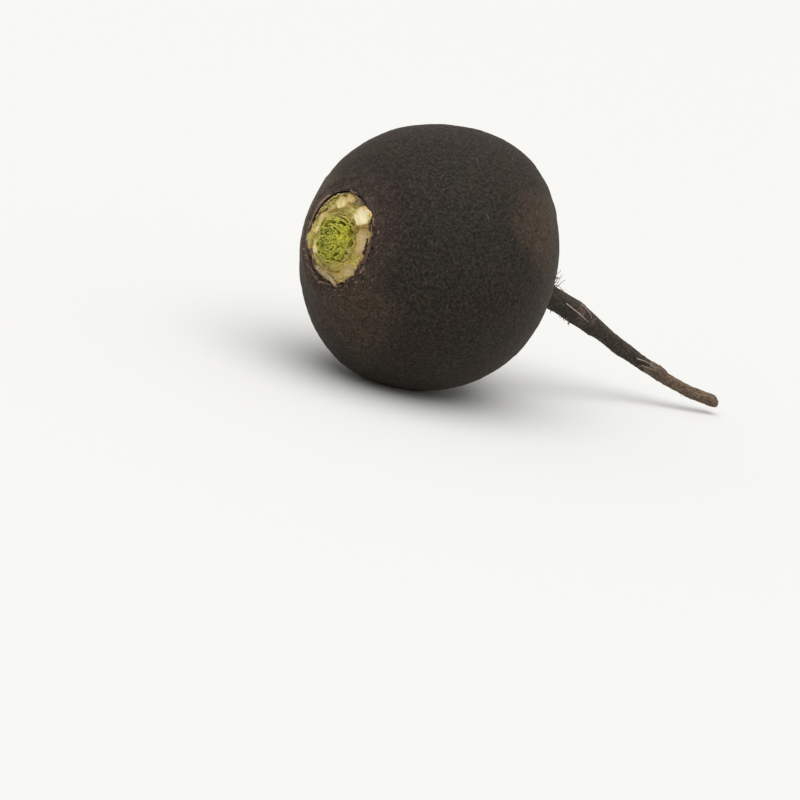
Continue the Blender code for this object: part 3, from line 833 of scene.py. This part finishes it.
def heart_leaves():
    """The heart's leaves as one array of points (leaf, up, across): each blade rises from the core's dome,
    leans out, curls in over its tip, is cupped round the middle, and is crinkled towards its edge."""
    draw = drawing(np.random.default_rng(7), LEAF_COUNT)
    index = np.arange(LEAF_COUNT)[:, None, None]
    share = (index + 0.5) / LEAF_COUNT
    turn = index * GOLDEN_ANGLE + draw(-0.35, 0.35)
    facing = turn + draw(-0.55, 0.55)
    distance = LEAF_SPREAD * share**0.55
    width = (1.6 + 2.0 * share) * MM * draw(0.85, 1.3)
    height = (2.9 + 0.2 * share) * MM * draw(0.85, 1.12)
    lean = np.radians(4 + 34 * share) + draw(-0.15, 0.15)
    curl = LEAF_CURL * draw(0.1, 1.3)
    phase, other, third = draw(0, 6.28), draw(0, 6.28), draw(0, 6.28)
    up, across = blade_grid(LEAF_ROWS, LEAF_COLUMNS)
    bend = lean - curl * up**2
    step = height / (LEAF_ROWS - 1)
    rise = np.cumsum(np.cos(bend) * step, axis=1) - step * np.cos(lean)
    reach = np.cumsum(np.sin(bend) * step, axis=1) - step * np.sin(lean)
    half = width / 2 * (0.6 + 1.0 * up - 0.85 * up**3)
    pace = 2 * math.pi / CRINKLE_LENGTH
    crinkle = 0.14 * MM * up * (0.25 + 0.75 * across**2) * np.sin(across * half * pace + 2.2 * up + phase)
    crinkle += 0.09 * MM * up * np.sin(up * height * 0.8 * pace + 3 * across + other)
    crinkle -= 0.5 * MM * across**2 * (0.6 + up)
    lift = 0.14 * MM * up * np.sin(across * half * 0.8 * pace + third) - 0.22 * across**2 * height * up
    side = across * half
    out = reach + crinkle
    right = distance * np.sin(turn) + out * np.sin(facing) + side * np.cos(facing)
    above = distance * np.cos(turn) + out * np.cos(facing) - side * np.sin(facing)
    squeeze = np.minimum(1, (HEART_RADIUS - 0.12 * MM) / np.hypot(right, above))
    base = HEART_BASE + CORE_HEIGHT * np.sqrt(1 - 0.9 * share) - LEAF_SINK
    points = crown_points(HEART_RIGHT + squeeze * right, HEART_UP + squeeze * above, base + rise + lift)
    return points, blade_values(across, up, draw(0, 1))


def build_leaf_material():
    """Young leaf: olive green, yellower towards the crown's right and greyer in the middle, with a paler
    edge, and a pale midrib and side veins that bulge a little."""
    material, tree, shader = new_material(
        "young_leaf_crinkled", 0.5, Specular_IOR_Level=0.35, Subsurface_Weight=0.45,
        Subsurface_Scale=1.0 * MM, Subsurface_Radius=(0.9, 1.0, 0.3),
    )
    place = in_millimetres(tree)
    mottle, creases, _ = grain(place, 0.6)
    across, up, draw = parts(attribute(tree, "blade"))
    sideways = parts(place)[1]
    to_right = calculate("MULTIPLY_ADD", noise(place, 4.0, 2.0), -6.0, sideways)
    broad = noise(place, 4.5, 2.0)
    away = calculate("ABSOLUTE", across)
    slant = calculate("MULTIPLY_ADD", away, VEIN_SLANT, up)
    ribs = calculate("SINE", times(slant, VEIN_PACE))
    veins = strongest(spread(ribs, 0.55, 0.95, 0.5), spread(away, 0.14, 0.04))
    colour = lay_coats(
        eye(166, 163, 48),
        ((draw, 0.1, 0.9), eye(144, 143, 46)),
        ((to_right, -2.5, -7.0, 0.85), eye(172, 166, 16)),
        ((broad, 0.44, 0.6, 0.6), eye(146, 146, 40)),
        ((up, 0.5, 0.0, 0.75), eye(128, 126, 32)),
        ((away, 0.75, 1.0, 0.5), eye(196, 190, 92)),
        ((up, 0.86, 1.0, 0.5), eye(194, 188, 86)),
        (times(veins, 0.45), eye(192, 190, 96)),
        ((mottle, 0.5, 0.28, 0.5), eye(106, 106, 32)),
    )
    finish_material(tree, shader, colour, 0.08 * MM, mottle, (veins, 0.8), (creases, -0.4))
    return material


leaf_green = build_leaf_material()


def add_blades(name, points, blade, thickness, material, slot):
    """Thin blades from an array of points (blade, up, across), with a wall of this thickness."""
    count, rows, columns = points.shape[:3]
    faces = []
    for index in range(count):
        faces += grid_faces(rows, columns, index * rows * columns, wrap=False)
    piece = add_piece(name, points.reshape(-1, 3), faces, material, {"blade": blade.reshape(-1, 3)})
    wall = piece.modifiers.new("wall", "SOLIDIFY")
    wall.thickness = thickness
    wall.offset = 0
    return piece


def build_heart():
    """The leaves, and the core under them: a closed lumpy dome that shows in the gaps between them."""
    leaves = add_blades("heart_leaves", *heart_leaves(), 0.2 * MM, leaf_green, "young_leaf")
    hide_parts("leaf_heart")
    turn = (np.arange(144) * 2 * math.pi / 144)[None, :]
    bend = np.linspace(0.02, math.pi / 2, 44)[:, None]
    radius = np.concatenate([np.sin(bend), [[0.9], [0.5], [0.02]]]) * CORE_RADIUS
    out = HEART_BASE + np.concatenate([np.cos(bend), [[0], [0], [0]]]) * CORE_HEIGHT
    rings = round_crown(radius, turn, out + 0 * turn, HEART_RIGHT, HEART_UP)
    lumps = 0.2 * MM * waves(rings, 0.8, 2.0, 30, 31) * (out > HEART_BASE)
    points, faces = closed_rings(rings + lumps[..., None] * OUTWARD)
    blade = np.tile([0.5, 0.2, 0.5], (len(points), 1))
    add_piece("heart_core", points, faces, leaf_green, {"blade": blade})


build_heart()


# Sheaths. Round the heart, and round the rim, stand the thin bases of leaves that broke off low: olive and
# straw-coloured bands with ragged edges. One long pale one lies out over the skin at the crown's foot.

# Each group is how many bands, whether they wrap round the heart (0) or the whole ring (1), the least and
# most distance, width and height in millimetres, and the middle and spread of their turns in degrees.
SHEATH_GROUPS = (
    (22, 0, 7.4, 8.4, 2.2, 5.0, 1.7, 2.7, 0, 180),
    (5, 0, 8.3, 9.6, 2.2, 4.2, 1.3, 2.0, 20, 45),
    (7, 1, 12.2, 12.9, 4.0, 8.0, 1.0, 1.4, -50, 28),
    (5, 1, 13.2, 13.9, 3.0, 6.0, 1.0, 1.5, -110, 40),
    (5, 1, 12.8, 13.9, 3.0, 5.0, 0.9, 1.4, 110, 50),
    (5, 1, 13.3, 13.9, 5.0, 8.0, 1.1, 1.5, -42, 26),
)
# The long one's own value, past the others' 0 to 1, makes it greyer.
GREY_BASE = 2


def sheaths():
    """Upright bands (band, up, across), each bent round the heart or the ring, with a ragged top."""
    rng = np.random.default_rng(11)
    up, across = blade_grid(9, 25)
    points, blades = [], []
    for count, whole, near, far, narrow, wide, low_edge, high_edge, at, turn_spread in SHEATH_GROUPS:
        draw = drawing(rng, count)
        even = np.linspace(-1, 1, count, endpoint=False)[:, None, None]
        turn = np.radians(at + turn_spread * (even + draw(-0.4, 0.4) / count))
        distance = draw(near, far) * MM
        height = draw(low_edge, high_edge) * MM
        ragged = 1 + 0.12 * np.sin(6 * across + draw(0, 6)) + 0.08 * np.sin(17 * across + draw(0, 6))
        rise = up * height * ragged * (1 - 0.4 * across**2)
        out = distance + rise * np.sin(draw(-0.3, 0.3)) + 0.14 * MM * up * np.sin(9 * across + draw(0, 6))
        around = turn + across * draw(narrow, wide) * MM / 2 / distance
        middle = (0, 0) if whole else (HEART_RIGHT, HEART_UP)
        points.append(round_crown(out, around, PLATE_TOP - 0.5 * MM + rise, *middle))
        blades.append(blade_values(across, up, draw(0, 1)))
    return np.concatenate(points), np.concatenate(blades)


def build_sheath_material():
    """Thin leaf base: straw and olive, or grey, with long fibres up it and a brown torn edge."""
    material, tree, shader = new_material("torn_leaf_base", 0.6, Specular_IOR_Level=0.3)
    mottle, creases, _ = grain(in_millimetres(tree), 0.6)
    blade = attribute(tree, "blade")
    _, up, draw = parts(blade)
    fibres = noise(stretch(blade, (14, 0.8, 5)), 1.0, 3.0)
    colour = lay_coats(
        eye(166, 160, 54),
        ((draw, 0.2, 0.8), eye(190, 176, 92)),
        ((draw, 1.2, 1.5), eye(140, 122, 92)),
        ((fibres, 0.4, 0.7, 0.6), eye(210, 200, 140)),
        ((mottle, 0.5, 0.72, 0.5), eye(134, 116, 58)),
        ((up, 0.86, 1.0, 0.5), eye(190, 166, 104)),
    )
    finish_material(tree, shader, colour, 0.1 * MM, fibres, (creases, -0.3))
    return material


def long_sheath():
    """One long band that lies on the ring's lower left edge and ends in a point out on the skin."""
    along = np.linspace(0, 1, 41)[None, :, None]
    across = np.linspace(-1, 1, 9)[None, None, :]
    turn = np.radians(-150 - 52 * along)
    middle = np.interp(along, [0, 0.25, 0.5, 0.75, 1], [12.9, 12.6, 12.5, 13.2, 15.4]) * MM
    half = 0.85 * MM * np.sqrt(1 - np.abs(2 * along - 1) ** 3) * (1.1 - 0.5 * along)
    radius = middle + across * half
    height = np.interp(along, [0, 0.6, 1], [40.1, 40.3, 40.0]) + 0.12 * np.sin(3 * across + 5 * along)
    height = (height - 0.35 * across**2) * MM
    points = round_crown(radius, turn, height)
    return points, blade_values(along * 2 - 1, 0.5 + 0.3 * across, GREY_BASE)


leaf_base = build_sheath_material()
add_blades("leaf_sheaths", *sheaths(), 0.26 * MM, leaf_base, "young_leaf")
add_blades("long_leaf_sheath", *long_sheath(), 0.5 * MM, leaf_base, "young_leaf")


# Dry scales. The skin's torn edge and the shrivelled bases of old leaves curl up round the crown, most of
# them at its right, its left and its lower side, and crumbs of them stick to the skin below it: papery,
# brown, reddish or grey.

# Each group is how many scales, the middle and spread of their turns in degrees, their distance from the
# axis, their width and height in millimetres, how much each stands up in degrees, and its tone from dark
# (0) to pale (1).
SCALE_GROUPS = (
    (11, 84, 30, 14.5, 2.3, 1.2, 58, 0.35),
    (3, 88, 9, 12.9, 2.8, 1.2, 70, 0.15),
    (6, 14, 12, 14.2, 2.4, 1.1, 50, 0.25),
    (18, 170, 48, 14.8, 1.6, 0.8, 40, 0.3),
    (5, -80, 28, 15.3, 6.0, 0.35, 35, 0.6),
    (14, -100, 55, 15.4, 1.5, 0.45, 30, 0.65),
    (16, 160, 90, 16.4, 0.8, 0.45, 20, 0.8),
    (14, 190, 75, 17.7, 0.7, 0.4, 20, 0.75),
    (10, 170, 80, 19.2, 0.6, 0.35, 20, 0.7),
)
SCALE_ROWS = 8
SCALE_COLUMNS = 17
ON_SKIN = 14.9 * MM


def dry_scales():
    """Small curled flakes (flake, up, across): each starts under the torn lip, leans over outwards or
    inwards, curls, and ends in a ragged edge."""
    points, blades = [], []
    rng = np.random.default_rng(23)
    up, across = blade_grid(SCALE_ROWS, SCALE_COLUMNS)
    for count, middle, turn_spread, distance, width, length, stand, tone in SCALE_GROUPS:
        draw = drawing(rng, count)
        even = np.linspace(-1, 1, count)[:, None, None]
        turn = np.radians(middle + turn_spread * (even + draw(-1, 1) / count))
        start = (distance + draw(-0.3, 0.5)) * MM
        ragged = 1 + 0.2 * np.sin(5 * across + draw(0, 6)) + 0.14 * np.sin(13 * across + draw(0, 6))
        tall = up * length * draw(0.6, 1.4) * MM * ragged * (1 - 0.4 * across**2)
        bend = np.radians(stand * draw(0.6, 1.4)) + draw(-0.8, 1.0) * up
        outside = start + tall * np.cos(bend) * np.sign(draw(-0.6, 1))
        height = crown_profile(np.maximum(start, ON_SKIN)) + tall * np.sin(bend)
        clear = crown_profile(np.maximum(outside, ON_SKIN)) + 0.06 * MM
        height = np.where(outside > ON_SKIN, np.maximum(height, clear), height)
        height = height + 0.1 * MM * np.sin(4 * across + draw(0, 6)) * up - 0.35 * MM * (1 - up) ** 2
        around = turn + across * width * draw(0.7, 1.4) * MM / 2 / start
        points.append(round_crown(outside, around, height))
        blades.append(blade_values(across, up, np.clip(tone + draw(-0.3, 0.3), 0, 1)))
    return np.concatenate(points), np.concatenate(blades)


def build_scale_material():
    """Dry papery scale: dark plum, red-brown or grey-tan by flake, with fibres and a pale worn edge."""
    material, tree, shader = new_material("dry_scale", 0.72, Specular_IOR_Level=0.25)
    mottle, _, _ = grain(in_millimetres(tree), 0.5)
    blade = attribute(tree, "blade")
    _, up, tone = parts(blade)
    fibres = noise(stretch(blade, (9, 1.2, 7)), 1.0, 3.0)
    colour = lay_coats(
        eye(60, 44, 40),
        ((tone, 0.05, 0.5), eye(106, 78, 62)),
        ((tone, 0.6, 1.0), eye(158, 142, 122)),
        ((fibres, 0.45, 0.68, 0.6), eye(52, 38, 32)),
        ((up, 0.8, 1.0, 0.5), eye(172, 148, 116)),
    )
    finish_material(tree, shader, colour, 0.12 * MM, fibres, (mottle, 1))
    return material


add_blades("dry_scales", *dry_scales(), 0.15 * MM, build_scale_material(), "black_skin")


# Rootlets. Fine side roots that dried when the radish was dug: short curled hairs at the neck, along the
# underside of the tail and at its knots, and a few pale strands and torn fibres that lie along the tail.

ROOTLET_SIDES = 7
ROOTLET_STEPS = 18
ROOTLET_WAVE = 3.4
ROOTLET_SWING = 2.0
STRAND_STEPS = 36
# Each tuft is how many rootlets, the middle and spread of their places along the spine in millimetres, the
# middle and spread of their turns in degrees, and their length and radius in millimetres.
TUFTS = (
    (14, 54, 2.4, -14, 24, 4.6, 0.13),
    (8, 52, 4, 70, 40, 2.4, 0.10),
    (18, 64, 7, 184, 24, 2.0, 0.13),
    (7, 56, 4, 140, 30, 2.0, 0.10),
    (6, 98, 9, 90, 70, 1.3, 0.09),
    (5, 118, 10, 200, 60, 1.0, 0.09),
)
# Pale strands that lie on the tail's near side, each as its places and turns, its radius in millimetres,
# and its tone from dark (0) to pale (1): a long rootlet, a curled one, and fibres that peeled off aslant.
STRANDS = (
    ((62, 66, 70, 73, 74.6), (-80, -84, -88, -93, -93), 0.25, 0.72),
    ((68, 71, 73.6, 74.6, 74.2), (-40, -44, -54, -64, -72), 0.16, 0.66),
    ((100, 103, 107), (-84, -66, -54), 0.18, 0.8),
    ((103, 106, 109), (-108, -90, -76), 0.16, 0.6),
    ((106, 109, 112), (-70, -52, -40), 0.18, 0.55),
)


def rootlet_path(rng, place, turn, length):
    """A hair from just under the skin: it leaves along the skin's normal, leans towards the tail's tip and
    wanders as it goes, by four sine waves of random headings, the longer ones wider."""
    here = np.array([place])
    girth = tail_radius(here)
    root = smooth_skin(here, girth - 0.3 * MM, 0 * here, np.array([turn]))[0]
    out = unit(smooth_skin(here, girth + 1 * MM, 0 * here, np.array([turn]))[0] - root)
    ahead = (on_spine(here + MM) - on_spine(here))[0] / MM
    heading = out + ahead * rng.uniform(-0.5, 0.9)
    wander = rng.normal(size=(4, 3))
    share = np.linspace(0, 1, ROOTLET_STEPS)[:, None]
    swing = sum(wander[k] * np.sin((k + 1) * ROOTLET_WAVE * share + k) / (k + 1) for k in range(4))
    pace = unit(heading + ROOTLET_SWING * swing * np.minimum(1, 2 * share))
    return root + np.cumsum(pace, axis=0) * length / ROOTLET_STEPS + BODY_CENTRE


def tube(path, radii):
    """A closed tube of rings about the path, with a point at each end. Gives its points and faces."""
    tangent = unit(np.gradient(path, axis=0))
    side = unit(np.cross(tangent, np.array([0.31, 0.52, 0.79])))
    other = np.cross(tangent, side)
    turn = (np.arange(ROOTLET_SIDES) * 2 * math.pi / ROOTLET_SIDES)[None, :, None]
    round_path = np.cos(turn) * side[:, None] + np.sin(turn) * other[:, None]
    points, faces = closed_rings(path[:, None] + radii[:, None, None] * round_path)
    return points, [face[::-1] for face in faces]


def build_rootlet_material():
    """Dried rootlet: dark brown to pale tan by hair, with darker stains."""
    material, tree, shader = new_material("dried_rootlet", 0.7, Specular_IOR_Level=0.3)
    mottle, _, _ = grain(in_millimetres(tree), 0.5)
    colour = lay_coats(
        eye(58, 44, 36),
        ((attribute(tree, "draw", "Fac"), 0.25, 0.8), eye(160, 144, 130)),
        ((mottle, 0.5, 0.72, 0.6), eye(70, 54, 44)),
    )
    finish_material(tree, shader, colour, 0.05 * MM, mottle)
    return material


def build_rootlets():
    rng = np.random.default_rng(31)
    hairs = []
    for amount, place, place_spread, turn, turn_spread, length, radius in TUFTS:
        for _ in range(amount):
            where = (place + place_spread * rng.uniform(-1, 1)) * MM
            side = math.radians(turn + turn_spread * rng.uniform(-1, 1))
            path = rootlet_path(rng, where, side, length * rng.uniform(0.6, 1.5) * MM)
            hairs.append((path, radius * rng.uniform(0.8, 1.4) * MM, rng.uniform(0, 1)))
    for places, turns, radius, draw in STRANDS:
        share = np.linspace(0, len(places) - 1, STRAND_STEPS)
        where = np.interp(share, range(len(places)), places) * MM
        turn = np.radians(np.interp(share, range(len(places)), turns))
        strand = smooth_skin(where, tail_radius(where) + 0.2 * MM, 0 * where, turn) + BODY_CENTRE
        hairs.append((strand, radius * MM, draw))
    points, faces, draws, count = [], [], [], 0
    for path, radius, draw in hairs:
        hair, hair_faces = tube(path, radius * (1 - 0.75 * np.linspace(0, 1, len(path)) ** 1.5))
        points.append(hair)
        faces += [[corner + count for corner in face] for face in hair_faces]
        draws.append(np.full(len(hair), draw))
        count += len(hair)
    rootlet = build_rootlet_material()
    draws = {"draw": np.concatenate(draws)}
    add_piece("rootlets", np.concatenate(points), faces, rootlet, draws)


build_rootlets()


# The set. A plain pale floor, a broad soft light from above and an even light all round. The camera looks
# at the crown end from the photograph's side, and it is turned about its own axis as the root is.

FLOOR_REACH = 30
FLOOR_WHITE = (0.62, 0.616, 0.595, 1)
SURROUND = 0.62
SKY_WHITE = eye(249, 248, 244)
LAMP_STRENGTH = 3.0
LAMP_TILT = (math.radians(14), math.radians(-12), 0)
LAMP_SPREAD = math.radians(75)
CAMERA_PLACE = (-0.5100, -0.5684, 0.1774)
CAMERA_RIGHT = (0.7570, -0.6127, 0.2270)
CAMERA_UP = (-0.0206, 0.3249, 0.9455)
CAMERA_BACK = (-0.6531, -0.7205, 0.2333)
FOCAL_LENGTH = 108
SENSOR_WIDTH = 36
VIEW_LIMIT = 100


def build_set():
    scene = bpy.context.scene
    corners = [(x * FLOOR_REACH, y * FLOOR_REACH, 0) for x, y in ((-1, -1), (1, -1), (1, 1), (-1, 1))]
    mesh = bpy.data.meshes.new("floor")
    mesh.from_pydata(corners, [], [(0, 1, 2, 3)])
    material, _, _ = new_material("pale_floor", 0.9, Base_Color=FLOOR_WHITE, Specular_IOR_Level=0.1)
    mesh.materials.append(material)
    floor = new_object("floor", mesh)

    world = bpy.data.worlds.new("even_surround")
    world.use_nodes = True
    scene.world = world
    tree = world.node_tree
    background = tree.nodes["Background"]
    seen = add_node(tree, "LightPath").outputs["Is Camera Ray"]
    grey = (SURROUND, SURROUND, SURROUND, 1)
    tree.links.new(mix(seen, grey, SKY_WHITE), background.inputs["Color"])

    lamp = bpy.data.lights.new("overhead_softlight", "SUN")
    lamp.energy = LAMP_STRENGTH
    lamp.angle = LAMP_SPREAD
    new_object("overhead_softlight", lamp).rotation_euler = LAMP_TILT

    camera = new_object("camera", bpy.data.cameras.new("camera"))
    camera.data.lens = FOCAL_LENGTH
    camera.data.sensor_width = SENSOR_WIDTH
    camera.data.clip_end = VIEW_LIMIT
    rows = zip(CAMERA_RIGHT, CAMERA_UP, CAMERA_BACK, CAMERA_PLACE)
    camera.matrix_world = Matrix((*rows, (0, 0, 0, 1)))
    scene.camera = camera
    scene.view_settings.view_transform = "Standard"


build_set()
